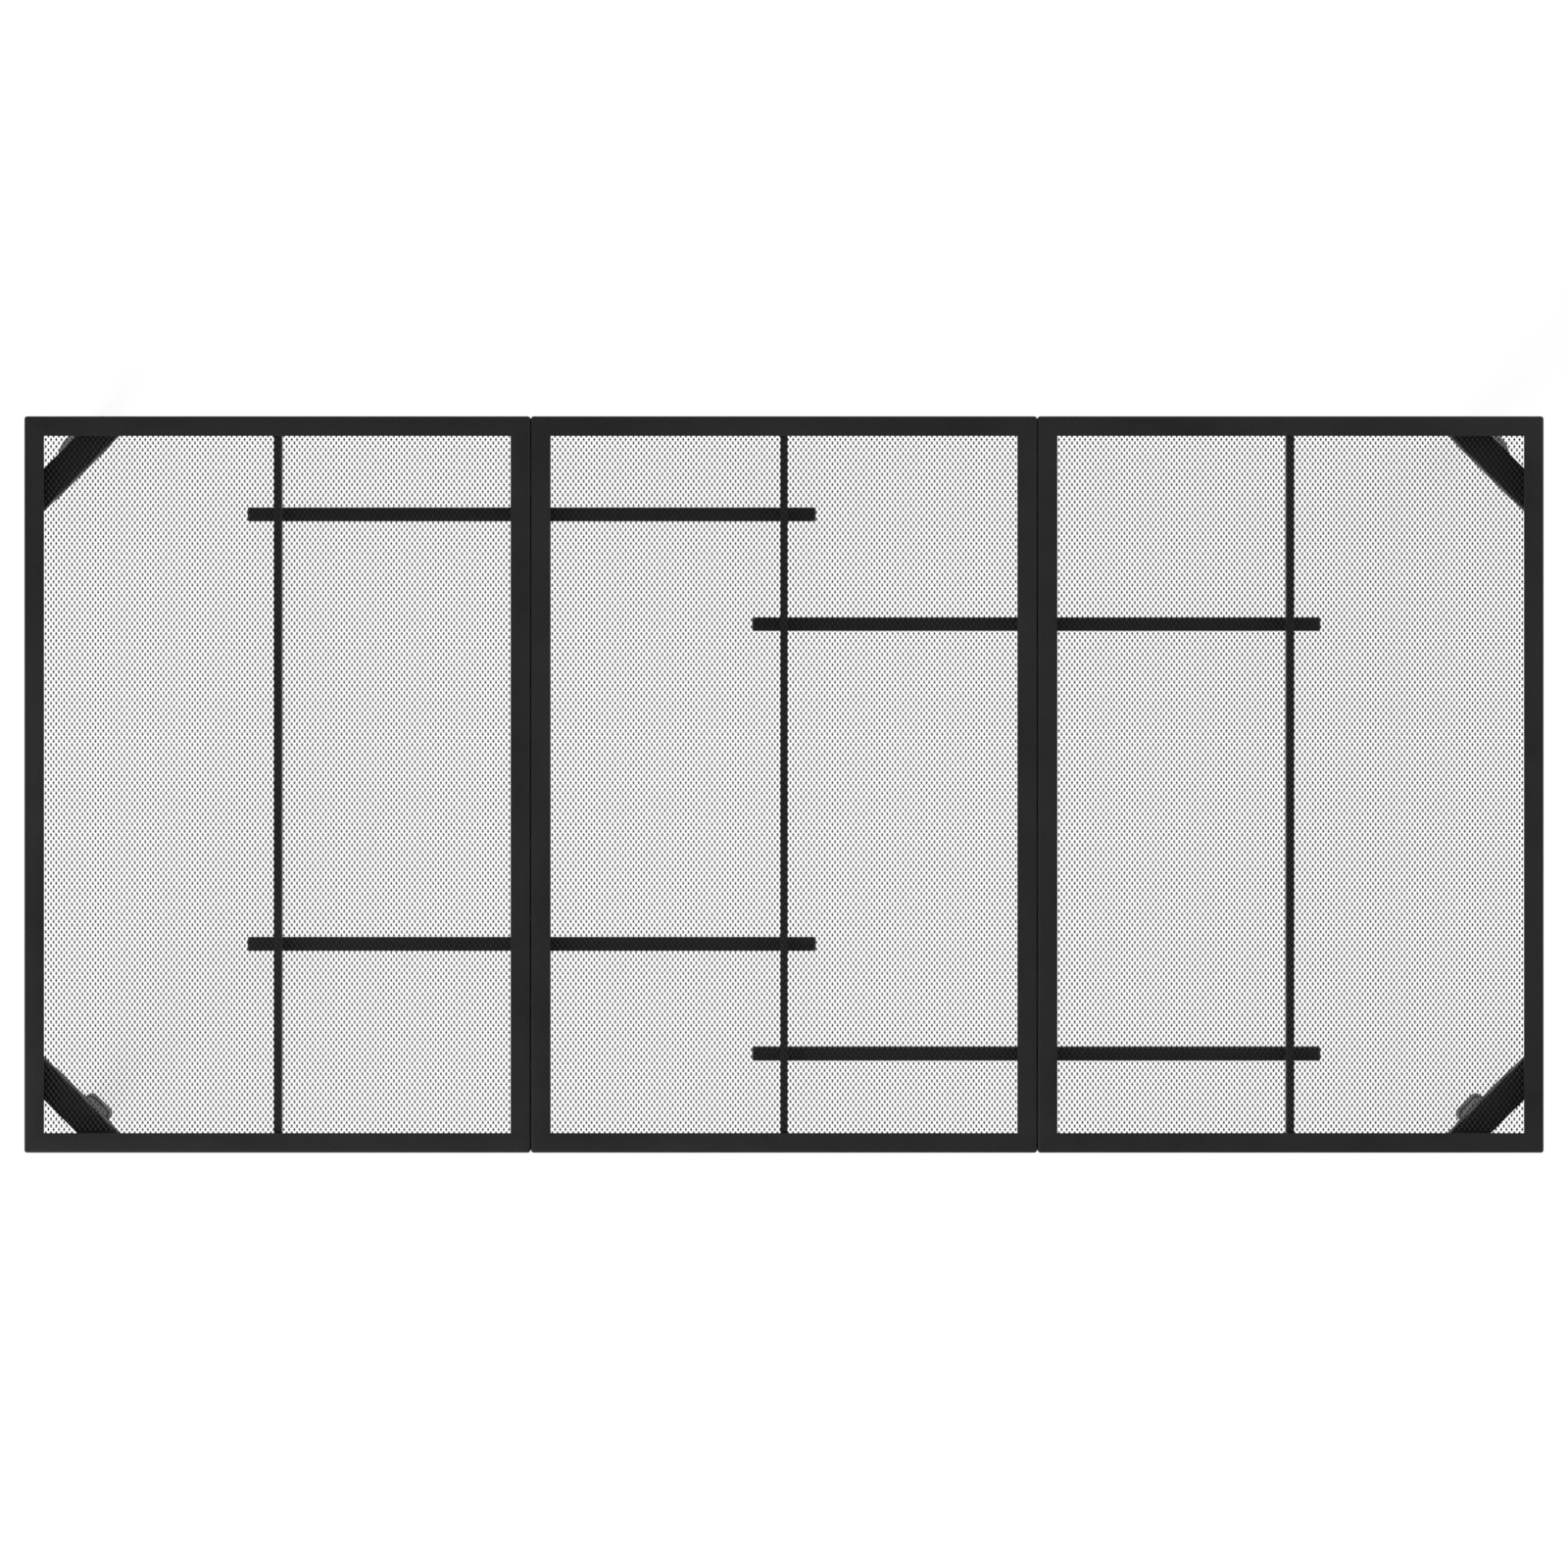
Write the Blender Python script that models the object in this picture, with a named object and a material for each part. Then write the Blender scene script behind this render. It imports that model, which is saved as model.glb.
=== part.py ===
"""Rectangular mesh-top garden table: three framed mesh modules on four splayed legs.

Metres, +Z up. X runs along the table, Y across it. The origin is on the floor, under the middle of the top.
Each module is a frame of four angle-section members with a mesh sheet under its flanges and a mid rod under
the mesh. Tie bars bolted under the rods join the modules. Each leg is bolted to a brace across a corner.
"""

import math

import bmesh
import bpy
from mathutils import Matrix, Vector

# Overall sizes
TOP_LENGTH = 1.650
TOP_DEPTH = 0.800
TOP_Z = 0.720

# Clearances between pieces that touch on the real table
GAP = 0.0003
MODULE_GAP = 0.0006
MITRE_PULL = GAP / math.sqrt(2)
CUT_MARGIN = 0.001

# Frame members: angle section, flange on top, web down the outside
FLANGE = 0.0215
WEB = 0.0205
WALL = 0.0018
BEND_INNER = 0.0007
BEND_OUTER = BEND_INNER + WALL
PLAN_CORNER = 0.003
PLAN_CORNER_STEPS = 3
BEND_STEPS = 3

# Mesh sheets: one plain thin sheet each, held under the flanges
MESH_THICKNESS = 0.0005
MESH_INSET = BEND_OUTER + 0.0006
MESH_TOP_Z = TOP_Z - WALL - GAP

# Mid rods: flat bars on edge between the long rails
ROD_WIDTH = 0.008
ROD_TOP_Z = MESH_TOP_Z - MESH_THICKNESS - GAP
ROD_BOTTOM_Z = TOP_Z - WEB

# Tie bars: square tube with a plug in each end
TIE_SIZE = 0.015
TIE_WALL = 0.0013
TIE_CORNER = 0.0015
TIE_LENGTH = 0.620
TIE_Y_WIDE = 0.2942
TIE_Y_NEAR = 0.1745
PLUG_HEAD = 0.002
PLUG_STEM = 0.010
PLUG_CLEARANCE = 0.0004

# Corner braces: flat rectangular tube with ends cut parallel to the frame
BRACE_WIDTH = 0.032
BRACE_DEPTH = 0.015
BRACE_WALL = 0.0015
BRACE_CORNER = 0.002
BRACE_FROM_CORNER = 0.0680
BRACE_END_INSET = 0.001

# Legs: oval tube on a bolted top plate
PLATE_LENGTH = 0.092
PLATE_THICKNESS = 0.003
PLATE_CORNER = 0.004
LEG_LENGTHWISE = 0.036
LEG_ACROSS = 0.025
LEG_CORNER = 0.009
LEG_WALL = 0.0015
LEG_BOW = 0.0105
LEG_SECTIONS = 9
FOOT_X = 0.8555
FOOT_Y = 0.4202

# Foot caps: (height, length, width, corner radius) of the outer shell from the floor up
FOOT_SHELL = (
    (0.0000, 0.0375, 0.0280, 0.0070),
    (0.0020, 0.0405, 0.0310, 0.0085),
    (0.0100, 0.0405, 0.0310, 0.0090),
    (0.0300, 0.0392, 0.0282, 0.0100),
)
FOOT_FLOOR = 0.006

# Bolts: (shank diameter, shank length, head width across flats, head height)
TIE_BOLT = (0.004, 0.0265, 0.007, 0.0028)
LEG_BOLT = (0.006, 0.0120, 0.010, 0.0040)
BOLT_CLEARANCE = 0.0006
LEG_BOLT_SPREAD = 0.034

# Levels worked out from the sizes above
TIE_TOP_Z = TOP_Z - WEB - GAP
PLATE_TOP_Z = TIE_TOP_Z - BRACE_DEPTH - GAP
PLATE_BOTTOM_Z = PLATE_TOP_Z - PLATE_THICKNESS
MODULE_LENGTH = (TOP_LENGTH - 2 * MODULE_GAP) / 3
MODULE_PITCH = MODULE_LENGTH + MODULE_GAP
JOINT_X = MODULE_PITCH / 2

MODULES = (("left", -1), ("centre", 0), ("right", 1))
CORNERS = (
    ("back_left", -1, 1),
    ("back_right", 1, 1),
    ("front_left", -1, -1),
    ("front_right", 1, -1),
)
TIES = (
    ("left_back", -1, TIE_Y_WIDE),
    ("left_front", -1, -TIE_Y_NEAR),
    ("right_back", 1, TIE_Y_NEAR),
    ("right_front", 1, -TIE_Y_WIDE),
)


def make_material(name, colour, roughness, metallic):
    material = bpy.data.materials.new(name)
    material.use_nodes = True
    shader = material.node_tree.nodes["Principled BSDF"]
    shader.inputs["Base Color"].default_value = (*colour, 1.0)
    shader.inputs["Roughness"].default_value = roughness
    shader.inputs["Metallic"].default_value = metallic
    return material


def add_object(name, mesh_builder, material, smooth=False):
    """Turns a filled bmesh into a named object with its faces pointing out."""
    bmesh.ops.remove_doubles(mesh_builder, verts=mesh_builder.verts, dist=1e-6)
    bmesh.ops.recalc_face_normals(mesh_builder, faces=mesh_builder.faces)
    mesh = bpy.data.meshes.new(name)
    mesh_builder.to_mesh(mesh)
    mesh_builder.free()
    mesh.materials.append(material)
    if smooth:
        mesh.shade_smooth()
        mesh.set_sharp_from_angle(angle=math.radians(35))
    item = bpy.data.objects.new(name, mesh)
    bpy.context.scene.collection.objects.link(item)
    return item


def skin_rings(builder, rings, loop=False):
    """Joins equal-length rings of points, with end caps unless the last ring meets the first."""
    rows = [[builder.verts.new(point) for point in ring] for ring in rings]
    pairs = list(zip(rows, rows[1:]))
    if loop:
        pairs.append((rows[-1], rows[0]))
    for low, high in pairs:
        for i in range(len(low)):
            j = (i + 1) % len(low)
            builder.faces.new((low[i], low[j], high[j], high[i]))
    if not loop:
        builder.faces.new(reversed(rows[0]))
        builder.faces.new(rows[-1])


def rounded_rectangle(length, width, radius, steps=3):
    """Outline points (u, v) of a rectangle with round corners, anticlockwise."""
    points = []
    for quarter, (side_u, side_v) in enumerate(((1, 1), (-1, 1), (-1, -1), (1, -1))):
        for step in range(steps + 1):
            angle = math.radians(90 * (quarter + step / steps))
            u = side_u * (length / 2 - radius) + radius * math.cos(angle)
            v = side_v * (width / 2 - radius) + radius * math.sin(angle)
            points.append((u, v))
    return points


def box(builder, low, high):
    """Adds a closed box between two opposite corners."""
    size = Vector(high) - Vector(low)
    middle = (Vector(high) + Vector(low)) / 2
    placed = Matrix.Translation(middle) @ Matrix.Diagonal((*size, 1.0))
    bmesh.ops.create_cube(builder, size=1.0, matrix=placed)


def upright_cylinder(builder, x, y, low_z, high_z, radius, sides):
    placed = Matrix.Translation((x, y, (low_z + high_z) / 2))
    bmesh.ops.create_cone(
        builder, cap_ends=True, segments=sides, radius1=radius, radius2=radius,
        depth=high_z - low_z, matrix=placed,
    )


def cut(item, builder, name):
    """Subtracts the closed shapes in builder from an object."""
    mesh = bpy.data.meshes.new(name)
    bmesh.ops.recalc_face_normals(builder, faces=builder.faces)
    builder.to_mesh(mesh)
    builder.free()
    cutter = bpy.data.objects.new(name, mesh)
    cutter.hide_render = True
    cutter.display_type = "WIRE"
    bpy.context.scene.collection.objects.link(cutter)
    modifier = item.modifiers.new(name, "BOOLEAN")
    modifier.operation = "DIFFERENCE"
    modifier.solver = "EXACT"
    modifier.object = cutter


def join(item, builder, name):
    """Adds the closed shape in builder to an object as one body."""
    cut(item, builder, name)
    item.modifiers[name].operation = "UNION"


def angle_profile():
    """Closed outline of the angle section: (distance in from the outer edge, height from the top)."""
    points = [(FLANGE, 0.0)]
    for step in range(BEND_STEPS + 1):
        angle = math.radians(90 + 90 * step / BEND_STEPS)
        points.append((BEND_OUTER * (1 + math.cos(angle)), BEND_OUTER * (math.sin(angle) - 1)))
    points += [(0.0, -WEB), (WALL, -WEB)]
    for step in range(BEND_STEPS + 1):
        angle = math.radians(180 - 90 * step / BEND_STEPS)
        points.append((BEND_OUTER + BEND_INNER * math.cos(angle), BEND_INNER * math.sin(angle) - BEND_OUTER))
    points.append((FLANGE, -WALL))
    return points


def frame_member(name, length, middle, turn, material):
    """One angle member with mitred ends, its outer edge at middle, turned about Z so that +Y is inward."""
    placed = Matrix.Translation(middle) @ Matrix.Rotation(turn, 4, "Z")
    rings = []
    for end in (-1, 1):
        steps = range(PLAN_CORNER_STEPS + 1)
        for step in steps if end < 0 else reversed(steps):
            angle = math.radians(45 - 45 * step / PLAN_CORNER_STEPS)
            ring = []
            for inward, height in angle_profile():
                reach = PLAN_CORNER - inward
                along, across = (reach * math.sin(angle), reach * math.cos(angle)) if reach > 0 else (reach, reach)
                x = end * (length / 2 - PLAN_CORNER - MITRE_PULL + along)
                ring.append(placed @ Vector((x, PLAN_CORNER - across, height)))
            rings.append(ring)
    builder = bmesh.new()
    skin_rings(builder, rings)
    return add_object(name, builder, material, smooth=True)


def module_frame(label, centre_x, material):
    """The four members of one module's frame."""
    left_name, right_name = {
        "left": ("outer", "inner"),
        "centre": ("left", "right"),
        "right": ("inner", "outer"),
    }[label]
    half_x, half_y = MODULE_LENGTH / 2, TOP_DEPTH / 2
    sides = (
        ("front_rail", MODULE_LENGTH, (centre_x, -half_y, TOP_Z), 0),
        ("back_rail", MODULE_LENGTH, (centre_x, half_y, TOP_Z), 180),
        (f"{right_name}_stile", TOP_DEPTH, (centre_x + half_x, 0, TOP_Z), 90),
        (f"{left_name}_stile", TOP_DEPTH, (centre_x - half_x, 0, TOP_Z), -90),
    )
    for side, length, middle, turn in sides:
        frame_member(f"{label}_{side}", length, middle, math.radians(turn), material)


def mesh_sheet(label, centre_x, material):
    half_x = MODULE_LENGTH / 2 - MESH_INSET
    half_y = TOP_DEPTH / 2 - MESH_INSET
    builder = bmesh.new()
    box(
        builder,
        (centre_x - half_x, -half_y, MESH_TOP_Z - MESH_THICKNESS),
        (centre_x + half_x, half_y, MESH_TOP_Z),
    )
    add_object(f"{label}_mesh", builder, material)


def rod_bolt_places(centre_x):
    """The (x, y) places where a mid rod crosses a tie bar."""
    return [(centre_x, y) for _, side, y in TIES if abs(side * JOINT_X - centre_x) < MODULE_PITCH * 0.75]


def mid_rod(label, centre_x, material):
    half_y = TOP_DEPTH / 2 - WALL - GAP
    builder = bmesh.new()
    box(
        builder,
        (centre_x - ROD_WIDTH / 2, -half_y, ROD_BOTTOM_Z),
        (centre_x + ROD_WIDTH / 2, half_y, ROD_TOP_Z),
    )
    rod = add_object(f"{label}_mid_rod", builder, material)
    holes = bmesh.new()
    top = tie_bolt_tip_z() + GAP
    for x, y in rod_bolt_places(centre_x):
        upright_cylinder(holes, x, y, ROD_BOTTOM_Z - CUT_MARGIN, top, (TIE_BOLT[0] + BOLT_CLEARANCE) / 2, 12)
    cut(rod, holes, f"cut_{label}_mid_rod")


def tube_rings(start, end, outline, inner):
    """Rings that skin a straight tube along X from its outer and inner (y, z) outlines."""
    return [
        [Vector((x, y, z)) for y, z in points]
        for points, x in ((outline, start), (outline, end), (inner, end), (inner, start))
    ]


def tie_bar(label, side, y, material, plug_material):
    """A square tube across one joint between modules, with its end plugs."""
    tube_half = TIE_LENGTH / 2 - PLUG_HEAD - GAP
    bore = TIE_SIZE - 2 * TIE_WALL
    middle_x = side * JOINT_X
    middle_z = TIE_TOP_Z - TIE_SIZE / 2
    outline = [(y + u, middle_z + v) for u, v in rounded_rectangle(TIE_SIZE, TIE_SIZE, TIE_CORNER, 2)]
    inner = [(y + u, middle_z + v) for u, v in rounded_rectangle(bore, bore, TIE_CORNER / 3, 2)]
    builder = bmesh.new()
    skin_rings(builder, tube_rings(middle_x - tube_half, middle_x + tube_half, outline, inner), loop=True)
    tie = add_object(f"tie_bar_{label}", builder, material, smooth=True)
    holes = bmesh.new()
    for end in (-1, 1):
        x = middle_x + end * MODULE_PITCH / 2
        radius = (TIE_BOLT[0] + BOLT_CLEARANCE) / 2
        upright_cylinder(holes, x, y, middle_z - TIE_SIZE, middle_z + TIE_SIZE, radius, 12)
    cut(tie, holes, f"cut_tie_bar_{label}")
    for end_name, end in (("west", -1), ("east", 1)):
        stem = bore - 2 * PLUG_CLEARANCE
        face_x = middle_x + end * TIE_LENGTH / 2
        levels = ((0, TIE_SIZE, TIE_CORNER), (PLUG_HEAD, TIE_SIZE, TIE_CORNER))
        levels += ((PLUG_HEAD, stem, TIE_CORNER / 3), (PLUG_HEAD + PLUG_STEM, stem, TIE_CORNER / 3))
        rings = []
        for inward, size, radius in levels:
            points = rounded_rectangle(size, size, radius, 2)
            rings.append([Vector((face_x - end * inward, y + u, middle_z + v)) for u, v in points])
        plug = bmesh.new()
        skin_rings(plug, rings)
        add_object(f"tie_plug_{label}_{end_name}", plug, plug_material)


def hex_bolt(name, x, y, head_top_z, sizes, material):
    """A hexagon bolt pointing up, the underside of its head at head_top_z."""
    diameter, length, flats, head = sizes
    circle = [math.radians(30 * k) for k in range(12)]
    corner = flats / 2 / math.cos(math.radians(30))
    hexagon = [(corner if k % 2 == 0 else flats / 2) for k in range(12)]
    chamfer = flats / 2 * 0.94
    levels = (
        (head_top_z - head, [chamfer] * 12),
        (head_top_z - head * 0.85, hexagon),
        (head_top_z, hexagon),
        (head_top_z, [diameter / 2] * 12),
        (head_top_z + length - diameter * 0.15, [diameter / 2] * 12),
        (head_top_z + length, [diameter * 0.36] * 12),
    )
    rings = [
        [Vector((x + r * math.cos(a), y + r * math.sin(a), z)) for a, r in zip(circle, radii)]
        for z, radii in levels
    ]
    builder = bmesh.new()
    skin_rings(builder, rings)
    add_object(name, builder, material)


def tie_bolt_tip_z():
    return TIE_TOP_Z - TIE_SIZE - GAP + TIE_BOLT[1]


def tie_bolts(material):
    for label, side, y in TIES:
        for end_name, end in (("west", -1), ("east", 1)):
            x = side * JOINT_X + end * MODULE_PITCH / 2
            name = f"tie_bolt_{label}_{end_name}"
            hex_bolt(name, x, y, TIE_TOP_Z - TIE_SIZE - GAP, TIE_BOLT, material)


def corner_axes(side_x, side_y):
    """Unit vectors of a corner: outward along its bisector, and along its brace."""
    outward = Vector((side_x, side_y, 0)).normalized()
    return outward, Vector((-outward.y, outward.x, 0))


def brace_centre(side_x, side_y):
    corner = Vector((side_x * TOP_LENGTH / 2, side_y * TOP_DEPTH / 2, 0))
    return corner - corner_axes(side_x, side_y)[0] * BRACE_FROM_CORNER


def leg_bolt_places(side_x, side_y):
    along = corner_axes(side_x, side_y)[1]
    return [brace_centre(side_x, side_y) + along * LEG_BOLT_SPREAD * end for end in (-1, 1)]


def leg_bolt_holes(side_x, side_y, low_z, high_z):
    holes = bmesh.new()
    for place in leg_bolt_places(side_x, side_y):
        upright_cylinder(holes, place.x, place.y, low_z, high_z, (LEG_BOLT[0] + BOLT_CLEARANCE) / 2, 12)
    return holes


def corner_brace(label, side_x, side_y, material):
    """A rectangular tube across a corner, its ends cut parallel to the two frame sides."""
    outward, along = corner_axes(side_x, side_y)
    centre = brace_centre(side_x, side_y)
    middle_z = TIE_TOP_Z - BRACE_DEPTH / 2
    outer = rounded_rectangle(BRACE_WIDTH, BRACE_DEPTH, BRACE_CORNER, 2)
    bore = (BRACE_WIDTH - 2 * BRACE_WALL, BRACE_DEPTH - 2 * BRACE_WALL)
    inner = rounded_rectangle(*bore, BRACE_CORNER - BRACE_WALL, 2)
    rings = []
    for points, end in ((outer, -1), (outer, 1), (inner, 1), (inner, -1)):
        ring = []
        for u, v in points:
            reach = BRACE_FROM_CORNER - u - BRACE_END_INSET * math.sqrt(2)
            ring.append(centre + outward * u + along * end * reach + Vector((0, 0, middle_z + v)))
        rings.append(ring)
    builder = bmesh.new()
    skin_rings(builder, rings, loop=True)
    brace = add_object(f"corner_brace_{label}", builder, material, smooth=True)
    low_z = TIE_TOP_Z - BRACE_DEPTH - CUT_MARGIN
    cut(brace, leg_bolt_holes(side_x, side_y, low_z, middle_z), f"cut_corner_brace_{label}")


def leg_centre(side_x, side_y, z):
    """Centre of the bowed leg at height z."""
    top = brace_centre(side_x, side_y)
    foot = Vector((side_x * FOOT_X, side_y * FOOT_Y, 0))
    down = (PLATE_BOTTOM_Z - z) / PLATE_BOTTOM_Z
    centre = top.lerp(foot, down) + (foot - top).normalized() * LEG_BOW * 4 * down * (1 - down)
    return Vector((centre.x, centre.y, z))


def leg_ring(side_x, side_y, z, length, width, radius):
    """Level outline of a leg or foot at height z, its long side along the brace."""
    outward, along = corner_axes(side_x, side_y)
    centre = leg_centre(side_x, side_y, z)
    return [centre + along * u + outward * v for u, v in rounded_rectangle(length, width, radius)]


def leg(label, side_x, side_y, material):
    """The bowed tube, open at the foot and welded to its top plate."""
    low_z = FOOT_FLOOR + GAP
    high_z = PLATE_BOTTOM_Z + PLATE_THICKNESS / 3
    heights = [low_z + (high_z - low_z) * k / LEG_SECTIONS for k in range(LEG_SECTIONS + 1)]
    outside = (LEG_LENGTHWISE, LEG_ACROSS, LEG_CORNER)
    inside = tuple(size - taken * LEG_WALL for size, taken in zip(outside, (2, 2, 1)))
    rings = [leg_ring(side_x, side_y, z, *outside) for z in heights]
    rings += [leg_ring(side_x, side_y, z, *inside) for z in reversed(heights)]
    builder = bmesh.new()
    skin_rings(builder, rings, loop=True)
    tube = add_object(f"leg_{label}", builder, material, smooth=True)
    outline = rounded_rectangle(PLATE_LENGTH, BRACE_WIDTH, PLATE_CORNER)
    outward, along = corner_axes(side_x, side_y)
    centre = brace_centre(side_x, side_y)
    plate = bmesh.new()
    skin_rings(plate, [
        [centre + along * u + outward * v + Vector((0, 0, z)) for u, v in outline]
        for z in (PLATE_BOTTOM_Z, PLATE_TOP_Z)
    ])
    join(tube, plate, f"plate_{label}")
    holes = leg_bolt_holes(side_x, side_y, PLATE_BOTTOM_Z - CUT_MARGIN, PLATE_TOP_Z + CUT_MARGIN)
    cut(tube, holes, f"cut_plate_{label}")


def foot_cap(label, side_x, side_y, material):
    """A moulded cup that the end of the leg stands in."""
    pocket = (LEG_LENGTHWISE + 2 * GAP, LEG_ACROSS + 2 * GAP, LEG_CORNER + GAP)
    rings = [leg_ring(side_x, side_y, *level) for level in FOOT_SHELL]
    rings += [leg_ring(side_x, side_y, z, *pocket) for z in (FOOT_SHELL[-1][0], FOOT_FLOOR)]
    builder = bmesh.new()
    skin_rings(builder, rings)
    add_object(f"foot_cap_{label}", builder, material, smooth=True)


def leg_bolts(label, side_x, side_y, material):
    for number, place in enumerate(leg_bolt_places(side_x, side_y), 1):
        name = f"leg_bolt_{label}_{number}"
        hex_bolt(name, place.x, place.y, PLATE_BOTTOM_Z - GAP, LEG_BOLT, material)


def build():
    for item in list(bpy.data.objects):
        bpy.data.objects.remove(item, do_unlink=True)
    coat = make_material("black powder coat", (0.024, 0.024, 0.024), 0.55, 0.0)
    mesh_coat = make_material("black coated mesh", (0.030, 0.030, 0.030), 0.50, 0.0)
    plastic = make_material("dark grey plastic", (0.090, 0.090, 0.090), 0.60, 0.0)
    steel = make_material("zinc plated steel", (0.550, 0.560, 0.580), 0.35, 1.0)
    for label, place in MODULES:
        centre_x = place * MODULE_PITCH
        module_frame(label, centre_x, coat)
        mesh_sheet(label, centre_x, mesh_coat)
        mid_rod(label, centre_x, coat)
    for label, side, y in TIES:
        tie_bar(label, side, y, coat, plastic)
    tie_bolts(steel)
    for label, side_x, side_y in CORNERS:
        corner_brace(label, side_x, side_y, coat)
        leg(label, side_x, side_y, coat)
        foot_cap(label, side_x, side_y, plastic)
        leg_bolts(label, side_x, side_y, steel)


build()
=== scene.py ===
"""Looks of the mesh-top garden table: fine geometry, materials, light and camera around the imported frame."""

import math

import bmesh
import bpy
import numpy as np
from mathutils import Matrix, Vector


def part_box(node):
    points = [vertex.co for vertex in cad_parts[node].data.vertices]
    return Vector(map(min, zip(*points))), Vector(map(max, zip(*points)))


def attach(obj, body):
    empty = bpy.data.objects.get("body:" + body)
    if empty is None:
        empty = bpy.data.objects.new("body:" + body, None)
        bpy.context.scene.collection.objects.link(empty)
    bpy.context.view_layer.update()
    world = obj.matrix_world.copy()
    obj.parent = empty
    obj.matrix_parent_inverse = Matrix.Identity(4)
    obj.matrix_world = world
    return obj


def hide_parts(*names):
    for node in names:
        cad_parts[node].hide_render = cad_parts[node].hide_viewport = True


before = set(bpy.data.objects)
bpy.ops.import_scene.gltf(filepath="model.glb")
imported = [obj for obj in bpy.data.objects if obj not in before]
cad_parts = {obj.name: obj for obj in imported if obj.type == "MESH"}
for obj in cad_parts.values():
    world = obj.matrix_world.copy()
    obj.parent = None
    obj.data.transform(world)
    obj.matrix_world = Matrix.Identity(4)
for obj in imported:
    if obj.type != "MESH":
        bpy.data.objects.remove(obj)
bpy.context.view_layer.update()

# Clearance that the CAD model keeps between touching pieces
GAP = 0.0003

# Frame members
PLAN_CORNER = 0.003
SHEET_WALL = 0.0018
BEND_OUTER = 0.0025
EDGE_SOFTENING = 0.0003
ARC_STEPS = 8

# Expanded mesh: pitch between bonds along X and Y, then the shape of one bond and its strands
MESH_PITCH_X = 0.005685
MESH_PITCH_Y = 0.00753
BOND_HALF_X = 0.00130
BOND_HALF_Y = 0.00162
STRAND_WIDTH = 0.00037
STRAND_HEIGHT = 0.0006
BOND_TILT = 0.00018
STRIPS_PER_SHEET = 4
SHEET_UV = "OFBake"

# Corner braces and tie bars
BRACE_WIDTH = 0.032
BRACE_WALL = 0.0015
BRACE_CORNER = 0.0018
BRACE_END_INSET = 0.001
TIE_WALL = 0.0013
TIE_CORNER = 0.0018
PLUG_STEM_CORNER = 0.0008
ROD_EDGE = 0.0007

# Legs
PLATE_LENGTH = 0.092
PLATE_THICKNESS = 0.003
PLATE_CORNER = 0.004
LEG_LENGTHWISE = 0.036
LEG_ACROSS = 0.025
LEG_CORNER = 0.009
LEG_WALL = 0.0015
LEG_BOW = 0.0105
LEG_SECTIONS = 48
WELD_THROAT = 0.0036
WELD_RIPPLE = 0.0026
WELD_SIDES = 8

# Foot caps: (height, length, width, corner radius) up the outer shell
FOOT_SHELL = (
    (0.0000, 0.0360, 0.0265, 0.0066),
    (0.0004, 0.0375, 0.0280, 0.0070),
    (0.0012, 0.0392, 0.0297, 0.0078),
    (0.0024, 0.0402, 0.0307, 0.0085),
    (0.0040, 0.0405, 0.0310, 0.0088),
    (0.0120, 0.0405, 0.0310, 0.0090),
    (0.0126, 0.0389, 0.0293, 0.0085),
    (0.0138, 0.0389, 0.0293, 0.0085),
    (0.0144, 0.0404, 0.0307, 0.0092),
    (0.0180, 0.0402, 0.0304, 0.0093),
    (0.0186, 0.0387, 0.0289, 0.0087),
    (0.0198, 0.0387, 0.0289, 0.0087),
    (0.0204, 0.0400, 0.0300, 0.0095),
    (0.0285, 0.0393, 0.0285, 0.0100),
    (0.0296, 0.0389, 0.0280, 0.0100),
    (0.0300, 0.0382, 0.0272, 0.0098),
)
FOOT_FLOOR = 0.006

# Bolts: shank diameter, width across the flats, height of the head
TIE_BOLT = (0.004, 0.007, 0.0028)
LEG_BOLT = (0.006, 0.010, 0.0040)

MODULES = ("left", "centre", "right")
CORNERS = {
    "back_left": (-1, 1),
    "back_right": (1, 1),
    "front_left": (-1, -1),
    "front_right": (1, -1),
}
TIES = ("left_back", "left_front", "right_back", "right_front")

# Camera: straight above the table
CAMERA_HEIGHT = 5.0
CAMERA_Y = 0.107
CAMERA_SHIFT_Y = -0.0625
VIEW_WIDTH = 1.7022
SENSOR = 36.0

# Stage: the floor's half width, its own glow, and the world's strength
FLOOR_HALF = 30.0
FLOOR_GLOW = 0.88
WORLD_STRENGTH = 0.85


# ---------------------------------------------------------------- materials


def new_material(name):
    material = bpy.data.materials.new(name)
    material.use_nodes = True
    return material, material.node_tree.nodes, material.node_tree.links


def noise(nodes, links, coords, scale, detail, roughness=0.5):
    texture = nodes.new("ShaderNodeTexNoise")
    texture.inputs["Scale"].default_value = scale
    texture.inputs["Detail"].default_value = detail
    texture.inputs["Roughness"].default_value = roughness
    links.new(coords, texture.inputs["Vector"])
    return texture.outputs["Fac"]


def ranged(nodes, links, value, low, high):
    """Maps a noise value from 0.3..0.7 to low..high."""
    spread = nodes.new("ShaderNodeMapRange")
    spread.inputs["From Min"].default_value = 0.3
    spread.inputs["From Max"].default_value = 0.7
    spread.inputs["To Min"].default_value = low
    spread.inputs["To Max"].default_value = high
    links.new(value, spread.inputs["Value"])
    return spread.outputs["Result"]


def tinted(nodes, links, factor, dark, light):
    mix = nodes.new("ShaderNodeMix")
    mix.data_type = "RGBA"
    mix.inputs["A"].default_value = (*dark, 1.0)
    mix.inputs["B"].default_value = (*light, 1.0)
    links.new(factor, mix.inputs["Factor"])
    return mix.outputs["Result"]


def bumped(nodes, links, height, distance, strength, under=None):
    bump = nodes.new("ShaderNodeBump")
    bump.inputs["Distance"].default_value = distance
    bump.inputs["Strength"].default_value = strength
    links.new(height, bump.inputs["Height"])
    if under is not None:
        links.new(under, bump.inputs["Normal"])
    return bump.outputs["Normal"]


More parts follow.
